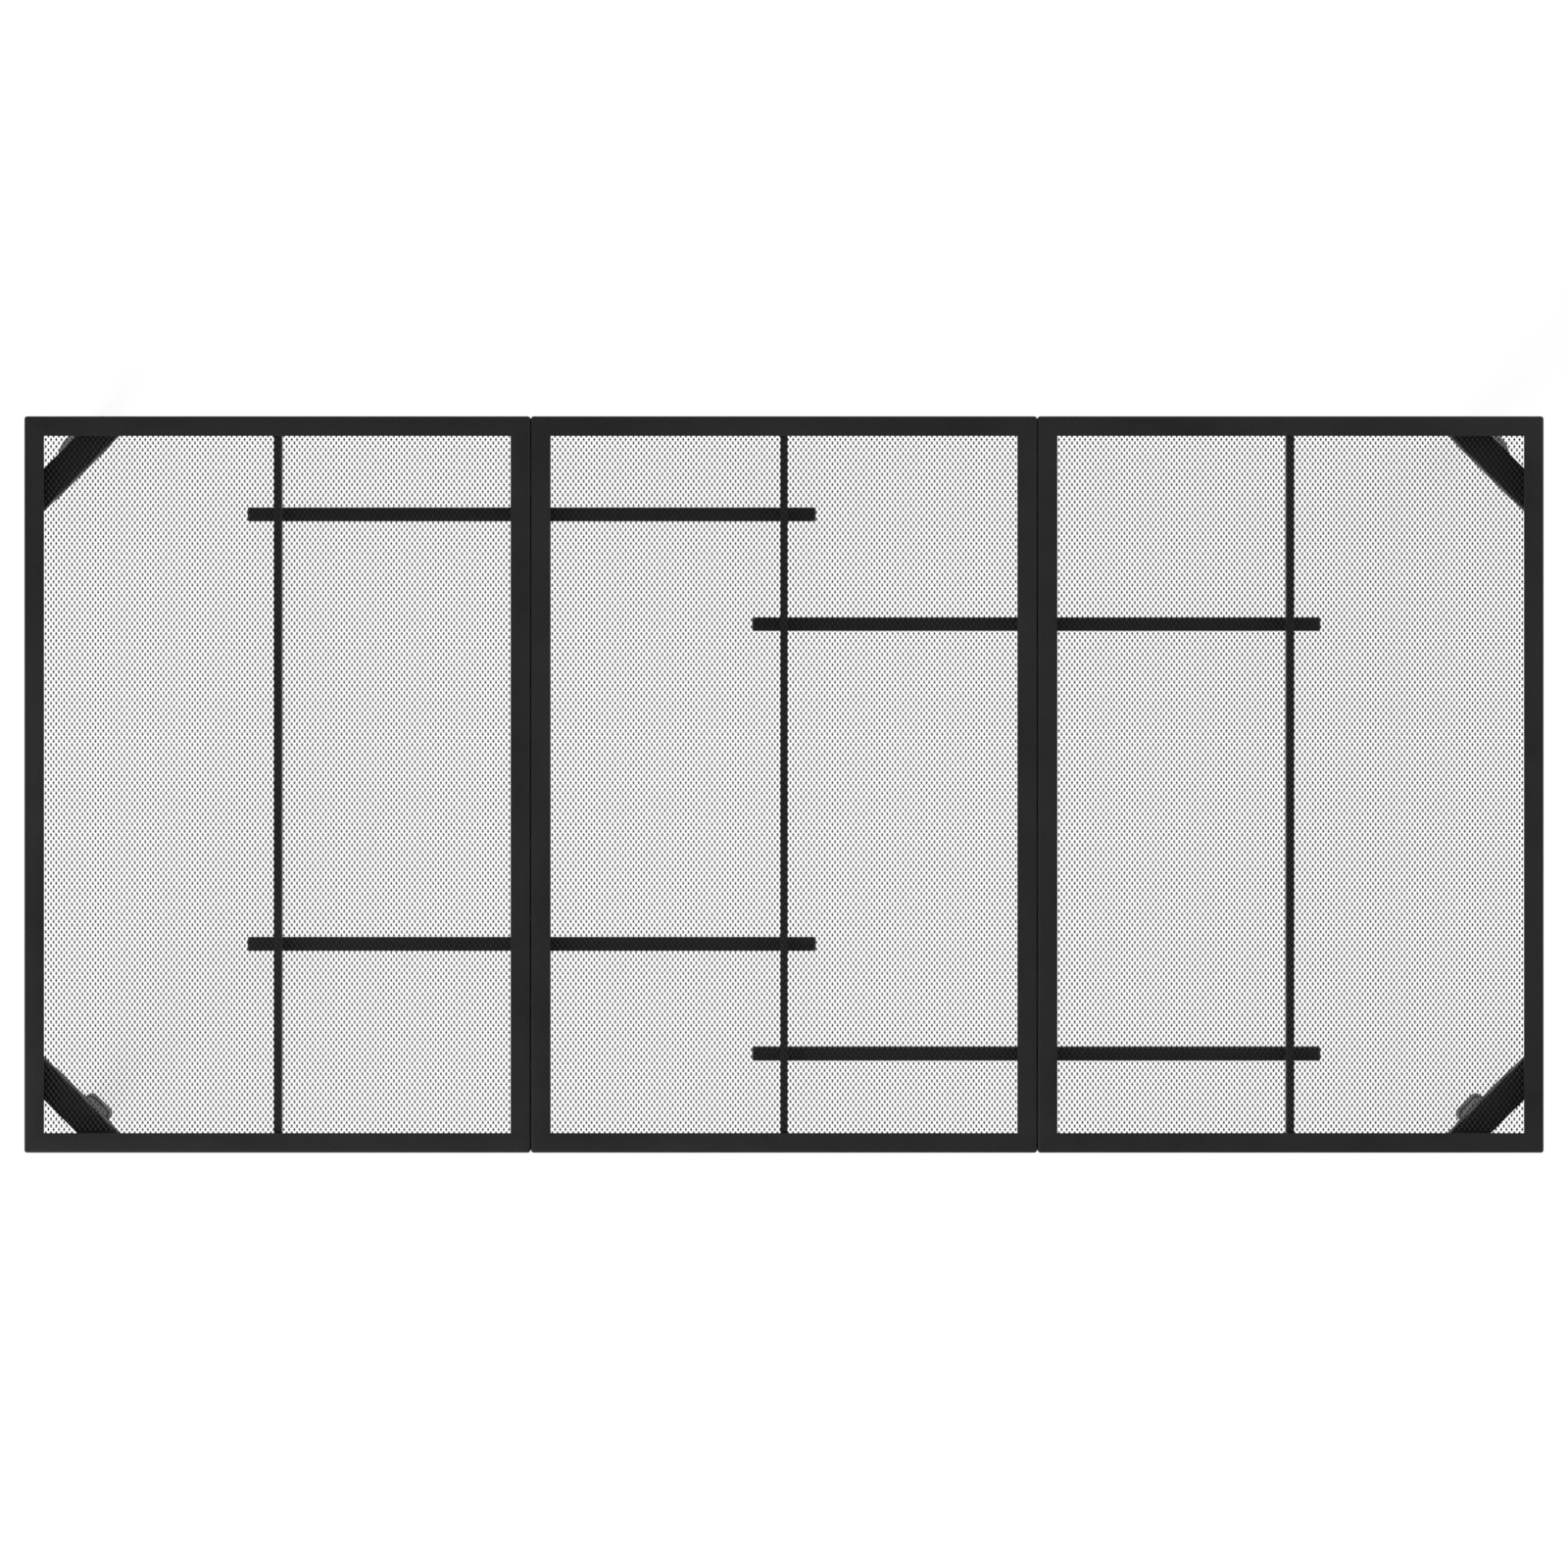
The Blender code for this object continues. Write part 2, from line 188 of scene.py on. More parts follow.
def coat_material(name, dark, light, rough_low, rough_high, grain, peel):
    """Powder coat with patches that are a little duller, and fine orange peel if peel is over 0."""
    material, nodes, links = new_material(name)
    shader = nodes["Principled BSDF"]
    coords = nodes.new("ShaderNodeTexCoord").outputs["Object"]
    patches = noise(nodes, links, coords, 9.0, 4.0, 0.6)
    speckle = noise(nodes, links, coords, grain * 0.6, 2.0)
    blend = nodes.new("ShaderNodeMath")
    blend.operation = "MULTIPLY_ADD"
    blend.inputs[1].default_value = 0.45
    links.new(speckle, blend.inputs[0])
    half = nodes.new("ShaderNodeMath")
    half.operation = "MULTIPLY"
    half.inputs[1].default_value = 0.55
    links.new(patches, half.inputs[0])
    links.new(half.outputs[0], blend.inputs[2])
    factor = ranged(nodes, links, blend.outputs[0], 0.0, 1.0)
    links.new(tinted(nodes, links, factor, dark, light), shader.inputs["Base Color"])
    links.new(ranged(nodes, links, patches, rough_low, rough_high), shader.inputs["Roughness"])
    if peel > 0:
        wave = bumped(nodes, links, noise(nodes, links, coords, grain * 0.3, 1.0), 0.0006, peel * 0.6)
        fine = bumped(nodes, links, noise(nodes, links, coords, grain, 2.0, 0.6), 0.0004, peel, wave)
        links.new(fine, shader.inputs["Normal"])
    shader.inputs["Specular IOR Level"].default_value = 0.28
    return material


def plastic_material(name, dark, light):
    """Moulded plastic: matt, with a fine spark-eroded grain."""
    material, nodes, links = new_material(name)
    shader = nodes["Principled BSDF"]
    coords = nodes.new("ShaderNodeTexCoord").outputs["Object"]
    cloud = noise(nodes, links, coords, 40.0, 5.0, 0.6)
    factor = ranged(nodes, links, cloud, 0, 1)
    links.new(tinted(nodes, links, factor, dark, light), shader.inputs["Base Color"])
    links.new(ranged(nodes, links, cloud, 0.55, 0.72), shader.inputs["Roughness"])
    grain = bumped(nodes, links, noise(nodes, links, coords, 2200.0, 2.0), 0.0002, 0.35)
    links.new(grain, shader.inputs["Normal"])
    shader.inputs["Specular IOR Level"].default_value = 0.4
    return material


def zinc_material(name):
    """Zinc plated bolt steel: bright, with a faintly mottled passivated surface."""
    material, nodes, links = new_material(name)
    shader = nodes["Principled BSDF"]
    coords = nodes.new("ShaderNodeTexCoord").outputs["Object"]
    mottle = noise(nodes, links, coords, 260.0, 4.0, 0.65)
    factor = ranged(nodes, links, mottle, 0, 1)
    links.new(
        tinted(nodes, links, factor, (0.42, 0.43, 0.46), (0.60, 0.60, 0.57)), shader.inputs["Base Color"]
    )
    links.new(ranged(nodes, links, mottle, 0.26, 0.44), shader.inputs["Roughness"])
    scratches = bumped(nodes, links, noise(nodes, links, coords, 1500.0, 2.0), 0.0002, 0.15)
    links.new(scratches, shader.inputs["Normal"])
    shader.inputs["Metallic"].default_value = 1.0
    return material


def floor_material(name):
    """Pale studio floor that is bright by itself, so that only soft shadows mark it."""
    material, nodes, links = new_material(name)
    shader = nodes["Principled BSDF"]
    coords = nodes.new("ShaderNodeTexCoord").outputs["Object"]
    cloud = ranged(nodes, links, noise(nodes, links, coords, 0.8, 3.0), 0, 1)
    tint = tinted(nodes, links, cloud, (0.15, 0.15, 0.15), (0.17, 0.17, 0.17))
    links.new(tint, shader.inputs["Base Color"])
    shader.inputs["Roughness"].default_value = 0.9
    shader.inputs["Emission Color"].default_value = (1.0, 1.0, 1.0, 1.0)
    shader.inputs["Specular IOR Level"].default_value = 0.0
    shader.inputs["Emission Strength"].default_value = FLOOR_GLOW
    return material


COAT = coat_material(
    "black_powder_coat", (0.0060, 0.0060, 0.0062), (0.0168, 0.0168, 0.0172), 0.50, 0.62, 1100.0, 0.55
)
MESH_COAT = coat_material(
    "black_mesh_coat", (0.016, 0.016, 0.0165), (0.021, 0.021, 0.0215), 0.38, 0.48, 2400.0, 0
)
PLASTIC = plastic_material("dark_grey_plastic", (0.080, 0.080, 0.082), (0.100, 0.100, 0.102))
ZINC = zinc_material("zinc_plated_steel")


# ---------------------------------------------------------------- mesh helpers


def finish_piece(name, mesh, material, replaced, smooth_angle=None):
    """Links a mesh as a piece that rides on the table and stands for the CAD nodes it replaces."""
    mesh.materials.append(material)
    if smooth_angle is not None:
        mesh.shade_smooth()
        mesh.set_sharp_from_angle(angle=math.radians(smooth_angle))
    piece = bpy.data.objects.new(name, mesh)
    bpy.context.scene.collection.objects.link(piece)
    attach(piece, "root")
    if replaced:
        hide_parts(*replaced)
    return piece


def built(name, builder, material, replaced=(), smooth_angle=40):
    bmesh.ops.remove_doubles(builder, verts=builder.verts, dist=1e-7)
    bmesh.ops.recalc_face_normals(builder, faces=builder.faces)
    mesh = bpy.data.meshes.new(name)
    builder.to_mesh(mesh)
    builder.free()
    return finish_piece(name, mesh, material, replaced, smooth_angle)


def skin_rings(builder, rings, loop=False):
    """Joins equal-length rings of points, with end caps unless the last ring meets the first."""
    rows = [[builder.verts.new(point) for point in ring] for ring in rings]
    pairs = list(zip(rows, rows[1:]))
    if loop:
        pairs.append((rows[-1], rows[0]))
    for low, high in pairs:
        for i in range(len(low)):
            j = (i + 1) % len(low)
            builder.faces.new((low[i], low[j], high[j], high[i]))
    if not loop:
        builder.faces.new(reversed(rows[0]))
        builder.faces.new(rows[-1])


def rounded_rectangle(length, width, radius, steps=ARC_STEPS):
    """Outline points (u, v) of a rectangle with round corners, anticlockwise."""
    points = []
    for quarter, (side_u, side_v) in enumerate(((1, 1), (-1, 1), (-1, -1), (1, -1))):
        for step in range(steps + 1):
            angle = math.radians(90 * (quarter + step / steps))
            u = side_u * (length / 2 - radius) + radius * math.cos(angle)
            v = side_v * (width / 2 - radius) + radius * math.sin(angle)
            points.append((u, v))
    return points


# ---------------------------------------------------------------- frames


def angle_profile():
    """Closed outline of the angle section with softened edges: (inward, down from the top)."""
    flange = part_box("left_outer_stile")[1].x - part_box("left_outer_stile")[0].x
    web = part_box("left_outer_stile")[1].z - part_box("left_outer_stile")[0].z
    soft = EDGE_SOFTENING
    mid = soft * 0.3
    inner = BEND_OUTER - SHEET_WALL
    points = [(flange, -soft), (flange - mid, -mid), (flange - soft, 0.0)]
    for step in range(ARC_STEPS + 1):
        angle = math.radians(90 + 90 * step / ARC_STEPS)
        points.append((BEND_OUTER * (1 + math.cos(angle)), BEND_OUTER * (math.sin(angle) - 1)))
    points += [(0.0, soft - web), (mid, mid - web), (soft, -web)]
    points += [(SHEET_WALL - soft, -web), (SHEET_WALL - mid, mid - web), (SHEET_WALL, soft - web)]
    for step in range(ARC_STEPS + 1):
        angle = math.radians(180 - 90 * step / ARC_STEPS)
        points.append((BEND_OUTER + inner * math.cos(angle), inner * math.sin(angle) - BEND_OUTER))
    points += [(flange - soft, -SHEET_WALL), (flange - mid, mid - SHEET_WALL)]
    points.append((flange, soft - SHEET_WALL))
    return points


def module_frame(label):
    """The four welded members of one module as one coated frame."""
    stiles = ("outer_stile", "inner_stile") if label != "centre" else ("left_stile", "right_stile")
    members = [f"{label}_{side}" for side in (*stiles, "front_rail", "back_rail")]
    low = Vector([min(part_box(m)[0][k] for m in members) for k in range(3)])
    high = Vector([max(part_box(m)[1][k] for m in members) for k in range(3)])
    centre = (low + high) / 2
    half_x, half_y = (high.x - low.x) / 2, (high.y - low.y) / 2
    rings = []
    for quarter, (side_x, side_y) in enumerate(((1, 1), (-1, 1), (-1, -1), (1, -1))):
        for step in range(ARC_STEPS + 1):
            angle = math.radians(90 * (quarter + step / ARC_STEPS))
            ring = []
            for inward, down in angle_profile():
                reach = PLAN_CORNER - inward
                dx, dy = (math.cos(angle), math.sin(angle)) if reach > 0 else (side_x, side_y)
                x = centre.x + side_x * (half_x - PLAN_CORNER) + reach * dx
                y = centre.y + side_y * (half_y - PLAN_CORNER) + reach * dy
                ring.append(Vector((x, y, high.z + down)))
            rings.append(ring)
    builder = bmesh.new()
    skin_rings(builder, rings, loop=True)
    built(f"{label}_frame", builder, COAT, members, 50)


# ---------------------------------------------------------------- expanded mesh


def bond_outline():
    """The eight plan points of a bond, from its top notch clockwise."""
    run = Vector((MESH_PITCH_X / 2, MESH_PITCH_Y / 2)).normalized()
    across = Vector((run.y, -run.x)) * STRAND_WIDTH
    shoulder = Vector((across.x, BOND_HALF_Y + across.y))
    return [
        (0.0, BOND_HALF_Y), (shoulder.x, shoulder.y), (BOND_HALF_X, 0.0), (shoulder.x, -shoulder.y),
        (0.0, -BOND_HALF_Y), (-shoulder.x, -shoulder.y), (-BOND_HALF_X, 0.0), (-shoulder.x, shoulder.y),
    ]


def expanded_strip(columns, first_row, last_row, row_count, origin):
    """Vertices and faces of the bonds in some rows, with the strands that rise from them."""
    outline = np.array(bond_outline())
    rows = np.arange(first_row, last_row + 2)
    column, row = np.meshgrid(np.arange(columns), rows)
    x = origin.x + (column + 0.5 * (row % 2)) * MESH_PITCH_X
    y = origin.y + row * MESH_PITCH_Y / 2
    level = origin.z + BOND_TILT * outline[:, 0] / BOND_HALF_X
    points = np.empty((*x.shape, 2, 8, 3))
    points[..., 0] = x[..., None, None] + outline[:, 0]
    points[..., 1] = y[..., None, None] + outline[:, 1]
    points[..., 0, :, 2] = level + STRAND_HEIGHT / 2
    points[..., 1, :, 2] = level - STRAND_HEIGHT / 2

    def vertex(r, c, side, corner):
        return (((r - first_row) * columns + c) * 2 + side) * 8 + corner

    faces = []

    def wall(a, a_corner, b, b_corner):
        above = (vertex(*a, 0, a_corner), vertex(*b, 0, b_corner))
        faces.append((*above, vertex(*b, 1, b_corner), vertex(*a, 1, a_corner)))

    def strand(here, right, left, end, end_left, end_right):
        """Top and underside of a strand from two corners of one bond to two of the next."""
        for side, order in ((0, 1), (1, -1)):
            near = (vertex(*here, side, right), vertex(*here, side, left))[::order]
            far = (vertex(*end, side, end_left), vertex(*end, side, end_right))[::order]
            faces.append((*near, *far))

    for r in range(first_row, last_row + 1):
        shift = r % 2
        for c in range(columns):
            here = (r, c)
            faces.append(tuple(vertex(r, c, 0, k) for k in reversed(range(8))))
            faces.append(tuple(vertex(r, c, 1, k) for k in range(8)))
            for corner in (1, 2, 5, 6):
                wall(here, corner, here, corner + 1)
            above_right = (r + 1, c + shift) if r + 1 < row_count and c + shift < columns else None
            above_left = (r + 1, c + shift - 1) if r + 1 < row_count and c + shift >= 1 else None
            below_right = r > first_row and c + shift < columns
            below_left = r > first_row and c + shift >= 1
            if above_right:
                end = above_right
                strand(here, 1, 0, end, 5, 4)
                wall(end, 5, here, 0)
                wall(here, 1, end, 4)
                if r == last_row:
                    wall(end, 4, end, 5)
            else:
                wall(here, 0, here, 1)
            if above_left:
                end = above_left
                strand(here, 0, 7, end, 4, 3)
                wall(here, 0, end, 3)
                wall(end, 4, here, 7)
                if r == last_row:
                    wall(end, 3, end, 4)
            else:
                wall(here, 7, here, 0)
            if not below_right:
                wall(here, 3, here, 4)
            if not below_left:
                wall(here, 4, here, 5)
    return points.reshape(-1, 3), faces


def mesh_from(name, points, faces):
    """A mesh of mixed faces, without the points that no face uses."""
    sizes = np.array([len(face) for face in faces])
    corners = np.concatenate([np.array(face) for face in faces])
    used, corners = np.unique(corners, return_inverse=True)
    mesh = bpy.data.meshes.new(name)
    mesh.vertices.add(len(used))
    mesh.vertices.foreach_set("co", points[used].astype(np.float32).ravel())
    mesh.loops.add(len(corners))
    mesh.loops.foreach_set("vertex_index", corners.astype(np.int32))
    mesh.polygons.add(len(sizes))
    mesh.polygons.foreach_set("loop_start", np.concatenate(([0], np.cumsum(sizes)[:-1])).astype(np.int32))
    mesh.update(calc_edges=True)
    mesh.validate()
    flat_map(mesh)
    return mesh


def flat_map(mesh):
    """UV map of a flat sheet seen from a slant, so that the sides of its strands have an area in it too."""
    corners = np.empty(len(mesh.loops), dtype=np.int32)
    mesh.loops.foreach_get("vertex_index", corners)
    points = np.empty(len(mesh.vertices) * 3, dtype=np.float32)
    mesh.vertices.foreach_get("co", points)
    points = points.reshape(-1, 3)
    uv = points[:, :2] + 0.4 * points[:, 2:]
    uv = (uv - uv.min(axis=0)) / (uv.max(axis=0) - uv.min(axis=0))
    layer = mesh.uv_layers.new(name=SHEET_UV)
    layer.data.foreach_set("uv", uv[corners].ravel())


def expanded_sheet(label):
    """One module's expanded mesh, in strips so that each stays a moderate size."""
    node = f"{label}_mesh"
    low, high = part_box(node)
    columns = int((high.x - low.x) / MESH_PITCH_X - 0.5)
    row_count = int((high.y - low.y) / (MESH_PITCH_Y / 2))
    width = (columns - 0.5) * MESH_PITCH_X
    depth = (row_count - 1) * MESH_PITCH_Y / 2
    centre = (low + high) / 2
    top = high.z + GAP / 2
    origin = Vector((centre.x - width / 2, centre.y - depth / 2, top - BOND_TILT - STRAND_HEIGHT / 2))
    edges = [round(row_count * k / STRIPS_PER_SHEET) for k in range(STRIPS_PER_SHEET + 1)]
    for number, (first, beyond) in enumerate(zip(edges, edges[1:]), 1):
        name = f"{label}_mesh_strip_{number}"
        points, faces = expanded_strip(columns, first, beyond - 1, row_count, origin)
        mesh = mesh_from(name, points, faces)
        finish_piece(name, mesh, MESH_COAT, [node], 60)


# ---------------------------------------------------------------- bars under the top


def soft_box(name, low, high, edge, material, slot_name, replaced):
    """A bar with rounded edges between two opposite corners."""
    builder = bmesh.new()
    size = high - low
    placed = Matrix.Translation((low + high) / 2) @ Matrix.Diagonal((*size, 1.0))
    bmesh.ops.create_cube(builder, size=1.0, matrix=placed)
    bmesh.ops.bevel(builder, geom=builder.edges[:], offset=edge, segments=3, profile=0.5, affect="EDGES")
    built(name, builder, material, replaced)


def tie_bar(label):
    node = f"tie_bar_{label}"
    low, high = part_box(node)
    middle, size = (low + high) / 2, high.z - low.z
    outer = rounded_rectangle(size, size, TIE_CORNER)
    inner = rounded_rectangle(size - 2 * TIE_WALL, size - 2 * TIE_WALL, TIE_CORNER - TIE_WALL)
    rings = [
        [Vector((x, middle.y + u, middle.z + v)) for u, v in points]
        for points, x in ((outer, low.x), (outer, high.x), (inner, high.x), (inner, low.x))
    ]
    builder = bmesh.new()
    skin_rings(builder, rings, loop=True)
    built(f"{node}_tube", builder, COAT, [node])
    for end_name, end in (("west", -1), ("east", 1)):
        tie_plug(f"tie_plug_{label}_{end_name}", end, size)


def tie_plug(node, end, size):
    """A push-in end plug: a slightly domed head on a ribbed stem."""
    low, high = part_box(node)
    middle = (low + high) / 2
    face_x, depth = (high.x, high.x - low.x) if end > 0 else (low.x, high.x - low.x)
    stem = size - 2 * TIE_WALL - 2 * GAP
    levels = [(0.0, size * 0.70, 0.0012), (0.0003, size * 0.90, 0.0015), (0.0009, size * 0.985, TIE_CORNER)]
    levels += [(0.0014, size, TIE_CORNER), (0.0020, size, TIE_CORNER)]
    levels.append((0.0020, stem * 0.96, PLUG_STEM_CORNER))
    for rib in range(3):
        start = 0.0035 + rib * 0.0025
        levels.append((start, stem * 0.96, PLUG_STEM_CORNER))
        levels.append((start + 0.0004, stem, PLUG_STEM_CORNER))
        levels.append((start + 0.0012, stem * 0.96, PLUG_STEM_CORNER))
    levels.append((depth, stem * 0.92, PLUG_STEM_CORNER))
    rings = [
        [Vector((face_x - end * inward, middle.y + u, middle.z + v)) for u, v in rounded_rectangle(w, w, r)]
        for inward, w, r in levels
    ]
    builder = bmesh.new()
    skin_rings(builder, rings)
    built(f"{node}_cap", builder, PLASTIC, [node])


# ---------------------------------------------------------------- corners and legs


def corner_axes(side_x, side_y):
    """Unit vectors of a corner: outward along its bisector, and along its brace."""
    outward = Vector((side_x, side_y, 0)).normalized()
    return outward, Vector((-outward.y, outward.x, 0))


def leg_top(label):
    """Where the leg's axis meets its top plate: midway between its two bolts."""
    ends = [sum(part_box(f"leg_bolt_{label}_{n}"), Vector()) / 2 for n in (1, 2)]
    return (ends[0] + ends[1]) / 2


def foot_centre(label):
    """Middle of the foot cap's flat underside."""
    points = [v.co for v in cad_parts[f"foot_cap_{label}"].data.vertices if v.co.z < GAP]
    return Vector((sum(p.x for p in points) / len(points), sum(p.y for p in points) / len(points), 0))


def plate_bottom(label):
    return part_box(f"leg_{label}")[1].z - PLATE_THICKNESS


def leg_centre(label, z):
    """Centre of the bowed leg at height z."""
    top, foot = leg_top(label), foot_centre(label)
    top.z = 0
    down = (plate_bottom(label) - z) / plate_bottom(label)
    centre = top.lerp(foot, down) + (foot - top).normalized() * LEG_BOW * 4 * down * (1 - down)
    return Vector((centre.x, centre.y, z))


def leg_ring(label, z, length, width, radius):
    outward, along = corner_axes(*CORNERS[label])
    centre = leg_centre(label, z)
    return [centre + along * u + outward * v for u, v in rounded_rectangle(length, width, radius)]


def corner_brace(label):
    """A rectangular tube across a corner, its ends cut parallel to the two frame sides."""
    node = f"corner_brace_{label}"
    low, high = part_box(node)
    outward, along = corner_axes(*CORNERS[label])
    centre = leg_top(label)
    centre.z = (low.z + high.z) / 2
    depth = high.z - low.z
    side_x, side_y = CORNERS[label]
    corner = Vector((high.x if side_x > 0 else low.x, high.y if side_y > 0 else low.y, centre.z))
    corner += BRACE_END_INSET * Vector((side_x, side_y, 0))
    from_corner = (corner - centre).length
    outer = rounded_rectangle(BRACE_WIDTH, depth, BRACE_CORNER)
    inner = rounded_rectangle(BRACE_WIDTH - 2 * BRACE_WALL, depth - 2 * BRACE_WALL, BRACE_CORNER - BRACE_WALL)
    rings = []
    for points, end in ((outer, -1), (outer, 1), (inner, 1), (inner, -1)):
        ring = []
        for u, v in points:
            reach = from_corner - u - BRACE_END_INSET * math.sqrt(2)
            ring.append(centre + outward * u + along * end * reach + Vector((0, 0, v)))
        rings.append(ring)
    builder = bmesh.new()
    skin_rings(builder, rings, loop=True)
    built(f"{node}_tube", builder, COAT, [node])


def leg(label):
    """The bowed tube with its welded, bolted top plate."""
    node = f"leg_{label}"
    outward, along = corner_axes(*CORNERS[label])
    low_z, high_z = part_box(node)[0].z, plate_bottom(label) + 0.0002
    heights = [low_z + (high_z - low_z) * k / LEG_SECTIONS for k in range(LEG_SECTIONS + 1)]
    outside = (LEG_LENGTHWISE, LEG_ACROSS, LEG_CORNER)
    inside = tuple(size - taken * LEG_WALL for size, taken in zip(outside, (2, 2, 1)))
    rings = [leg_ring(label, z, *outside) for z in heights]
    rings += [leg_ring(label, z, *inside) for z in reversed(heights)]
    builder = bmesh.new()
    skin_rings(builder, rings, loop=True)
    built(f"{node}_tube", builder, COAT, [node])
    top = leg_top(label)
    plate = bmesh.new()
    edge = 0.0004
    rings = []
    for z, inset in ((0, edge), (edge, 0), (PLATE_THICKNESS - edge, 0), (PLATE_THICKNESS, edge)):
        outline = rounded_rectangle(PLATE_LENGTH - 2 * inset, BRACE_WIDTH - 2 * inset, PLATE_CORNER - inset)
        height = plate_bottom(label) + z
        rings.append([Vector((top.x, top.y, height)) + along * u + outward * v for u, v in outline])
    skin_rings(plate, rings)
    built(f"{node}_plate", plate, COAT)
    weld_bead(label, outside)


def weld_bead(label, outside):
    """The rippled fillet weld round the top of a leg, under its plate."""
    z = plate_bottom(label)
    up = Vector((0, 0, 1))
    ring = leg_ring(label, z - WELD_THROAT * 0.4, *outside)
    ring = [ring[k] for k in range(len(ring)) if (ring[k] - ring[k - 1]).length > 1e-6]
    path = []
    for start, end in zip(ring, ring[1:] + ring[:1]):
        parts = max(1, round((end - start).length / (WELD_RIPPLE / 4)))
        path += [start.lerp(end, k / parts) for k in range(parts)]
    centre = leg_centre(label, z)
    travelled = 0.0
    rings = []
    for k, point in enumerate(path):
        travelled += (point - path[k - 1]).length if k else 0.0
        bulge = 1 + 0.16 * abs(math.sin(math.pi * travelled / WELD_RIPPLE))
        forward = (path[(k + 1) % len(path)] - path[k - 1]).normalized()
        out = forward.cross(up).normalized()
        if out.dot(point - centre) < 0:
            out = -out
        ring = []
        for side in range(WELD_SIDES):
            angle = 2 * math.pi * side / WELD_SIDES
            spoke = out * math.cos(angle) + up * math.sin(angle)
            ring.append(point + spoke * WELD_THROAT * 0.55 * bulge)
        rings.append(ring)
    builder = bmesh.new()
    skin_rings(builder, rings, loop=True)
    built(f"leg_{label}_weld", builder, COAT, (), 70)


def foot_cap(label):
    """A moulded cup with two shallow grooves, round the end of the leg."""
    node = f"foot_cap_{label}"
    pocket = (LEG_LENGTHWISE + 2 * GAP, LEG_ACROSS + 2 * GAP, LEG_CORNER + GAP)
    rings = [leg_ring(label, *level) for level in FOOT_SHELL]
    rings += [leg_ring(label, z, *pocket) for z in (FOOT_SHELL[-1][0] - 0.0004, FOOT_FLOOR)]
    builder = bmesh.new()
    skin_rings(builder, rings)
    built(f"{node}_cup", builder, PLASTIC, [node], 50)


# ---------------------------------------------------------------- bolts


def hex_bolt(node, shank, flats, head):
    """A flanged hexagon bolt, its head down, in the place of a CAD bolt."""
    low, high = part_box(node)
    x, y = (low.x + high.x) / 2, (low.y + high.y) / 2
    count = 48
    angles = [2 * math.pi * k / count for k in range(count)]

    def hexagon(angle):
        return flats / 2 / math.cos((angle + math.pi / 6) % (math.pi / 3) - math.pi / 6)

    base = low.z + head
    levels = [
        (low.z + head * 0.10, lambda a: flats * 0.30),
        (low.z + head * 0.10, lambda a: flats * 0.34),
        (low.z, lambda a: flats * 0.38),
        (low.z, lambda a: flats * 0.455),
        (low.z + head * 0.10, lambda a: min(hexagon(a), flats * 0.525)),
        (low.z + head * 0.22, hexagon),
        (base - head * 0.16, hexagon),
        (base - head * 0.14, lambda a: flats * 0.60),
        (base - head * 0.02, lambda a: flats * 0.62),
        (base, lambda a: flats * 0.61),
        (base, lambda a: shank / 2),
        (high.z - shank * 0.15, lambda a: shank / 2),
        (high.z, lambda a: shank * 0.36),
    ]
    rings = [
        [Vector((x + radius(a) * math.cos(a), y + radius(a) * math.sin(a), z)) for a in angles]
        for z, radius in levels
    ]
    builder = bmesh.new()
    skin_rings(builder, rings)
    built(f"{node}_flanged", builder, ZINC, [node], 30)


# ---------------------------------------------------------------- stage, light, camera


def stage_floor():
    builder = bmesh.new()
    bmesh.ops.create_grid(builder, x_segments=1, y_segments=1, size=FLOOR_HALF)
    mesh = bpy.data.meshes.new("floor")
    builder.to_mesh(mesh)
    builder.free()
    mesh.materials.append(floor_material("pale_floor"))
    floor = bpy.data.objects.new("floor", mesh)
    bpy.context.scene.collection.objects.link(floor)


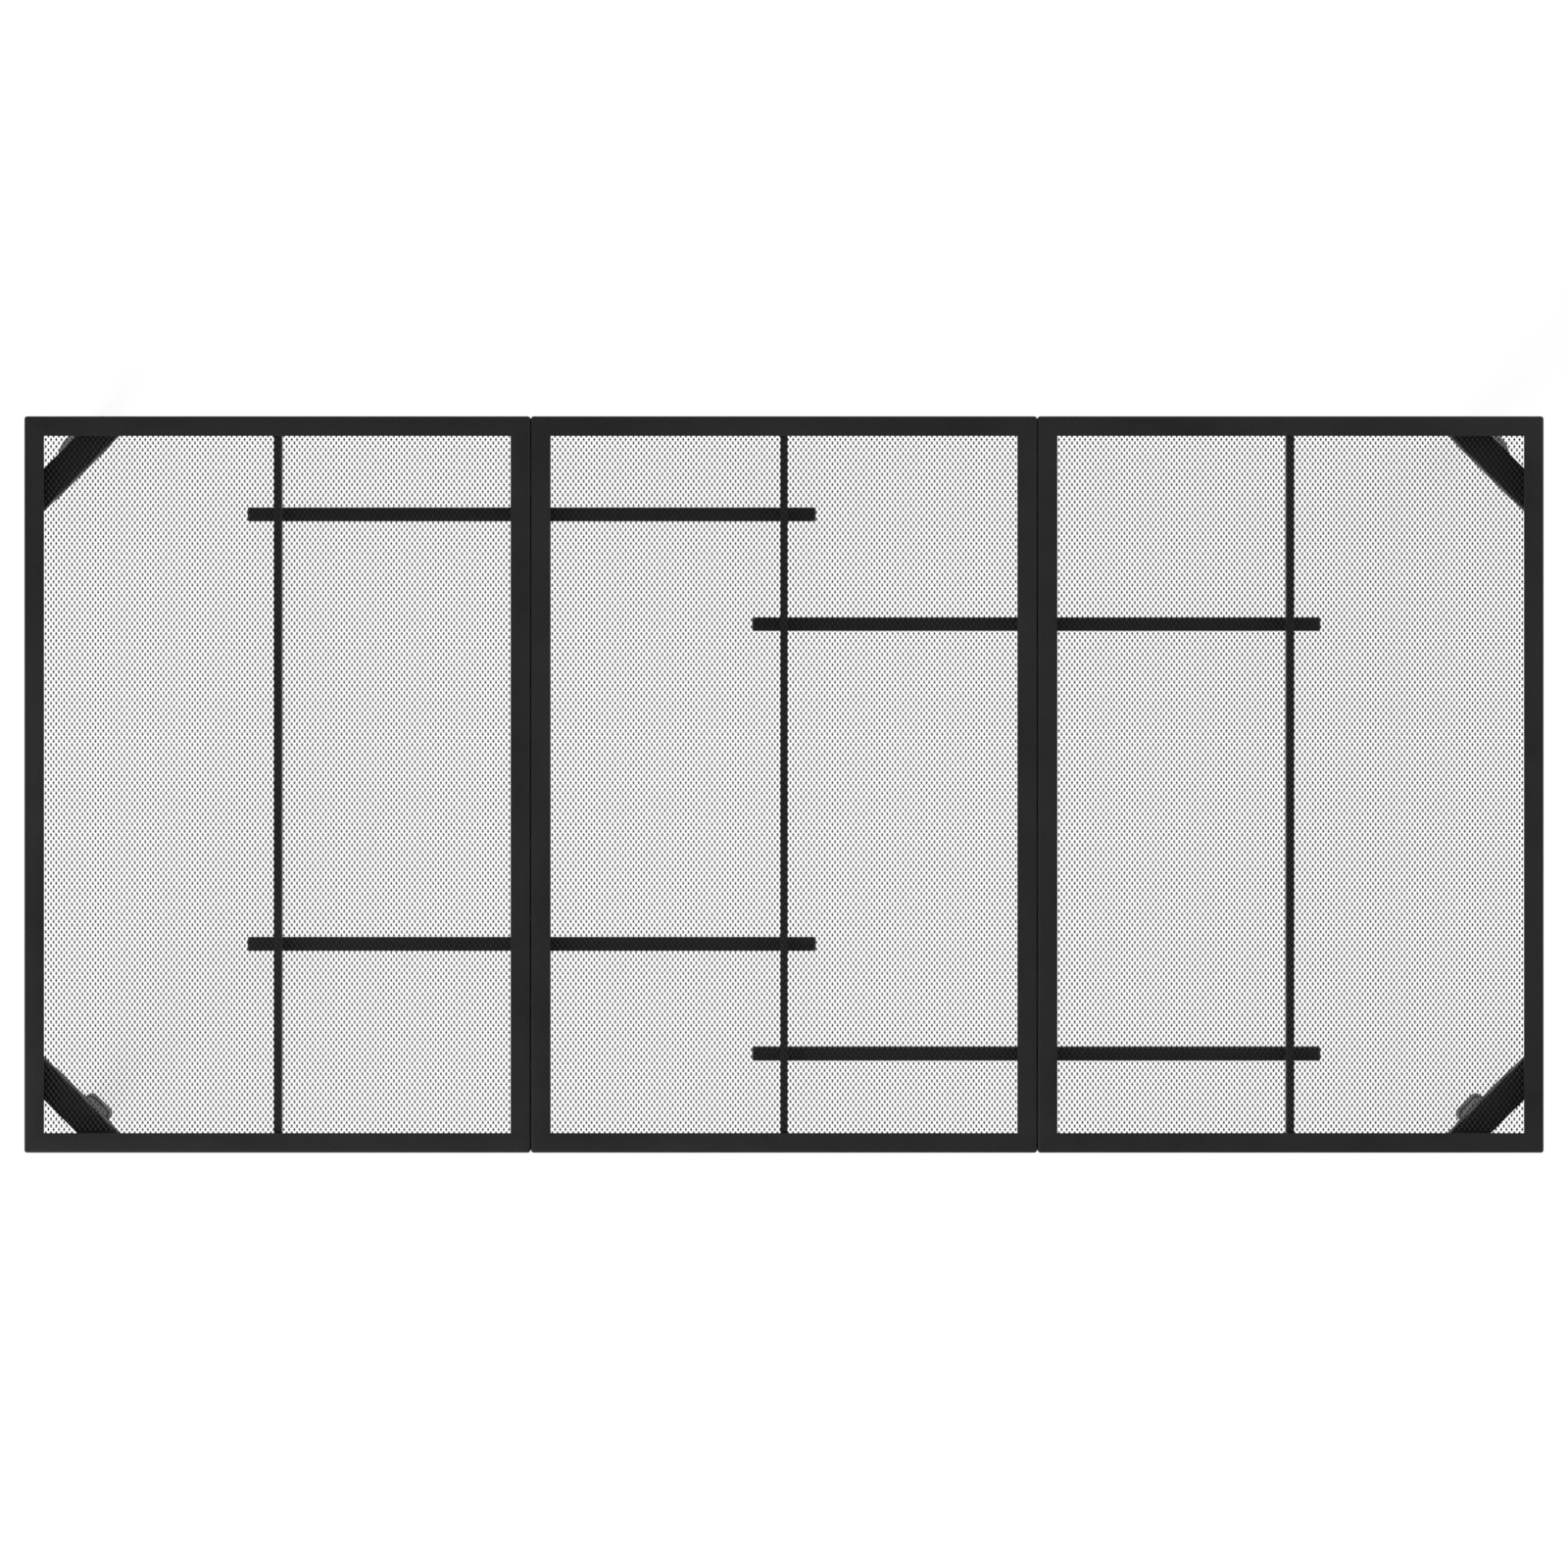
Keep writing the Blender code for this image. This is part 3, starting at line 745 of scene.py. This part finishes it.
def studio_world():
    """A bright horizon that dims towards the zenith, so that flat tops stay dark and sides catch light."""
    world = bpy.data.worlds.new("studio")
    bpy.context.scene.world = world
    world.use_nodes = True
    nodes, links = world.node_tree.nodes, world.node_tree.links
    coords = nodes.new("ShaderNodeTexCoord").outputs["Generated"]
    split = nodes.new("ShaderNodeSeparateXYZ")
    links.new(coords, split.inputs[0])
    ramp = nodes.new("ShaderNodeValToRGB")
    links.new(split.outputs["Z"], ramp.inputs["Fac"])
    ramp.color_ramp.elements[0].position = 0.0
    ramp.color_ramp.elements[0].color = (1, 1, 1, 1)
    ramp.color_ramp.elements[1].position = 0.9
    ramp.color_ramp.elements[1].color = (0.30, 0.30, 0.30, 1)
    middle = ramp.color_ramp.elements.new(0.45)
    middle.color = (0.85, 0.85, 0.85, 1)
    links.new(ramp.outputs["Color"], nodes["Background"].inputs["Color"])
    nodes["Background"].inputs["Strength"].default_value = WORLD_STRENGTH


def soft_light(name, place, target, size, power):
    data = bpy.data.lights.new(name, "AREA")
    data.shape = "SQUARE"
    data.size = size
    data.energy = power
    light = bpy.data.objects.new(name, data)
    light.location = place
    light.rotation_euler = (Vector(target) - Vector(place)).to_track_quat("-Z", "Y").to_euler()
    bpy.context.scene.collection.objects.link(light)


def camera_above():
    top_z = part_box("centre_front_rail")[1].z
    data = bpy.data.cameras.new("camera")
    data.sensor_width = SENSOR
    data.lens = SENSOR * CAMERA_HEIGHT / VIEW_WIDTH
    data.shift_y = CAMERA_SHIFT_Y
    camera = bpy.data.objects.new("camera", data)
    camera.location = (0.0, CAMERA_Y, top_z + CAMERA_HEIGHT)
    bpy.context.scene.collection.objects.link(camera)
    bpy.context.scene.camera = camera


# ---------------------------------------------------------------- build


for label in MODULES:
    module_frame(label)
    expanded_sheet(label)
    rod = f"{label}_mid_rod"
    soft_box(f"{rod}_bar", *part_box(rod), ROD_EDGE, COAT, "powder_coat", [rod])
for label in TIES:
    tie_bar(label)
    for end_name in ("west", "east"):
        hex_bolt(f"tie_bolt_{label}_{end_name}", *TIE_BOLT)
for label in CORNERS:
    corner_brace(label)
    leg(label)
    foot_cap(label)
    for number in (1, 2):
        hex_bolt(f"leg_bolt_{label}_{number}", *LEG_BOLT)

stage_floor()
studio_world()
soft_light("key_light", (-3.2, -3.8, 2.9), (0, 0, 0.5), 3.2, 230)
soft_light("fill_light", (3.6, 2.7, 2.6), (0, 0, 0.5), 2.5, 80)
bpy.context.scene.view_settings.view_transform = "Standard"
camera_above()
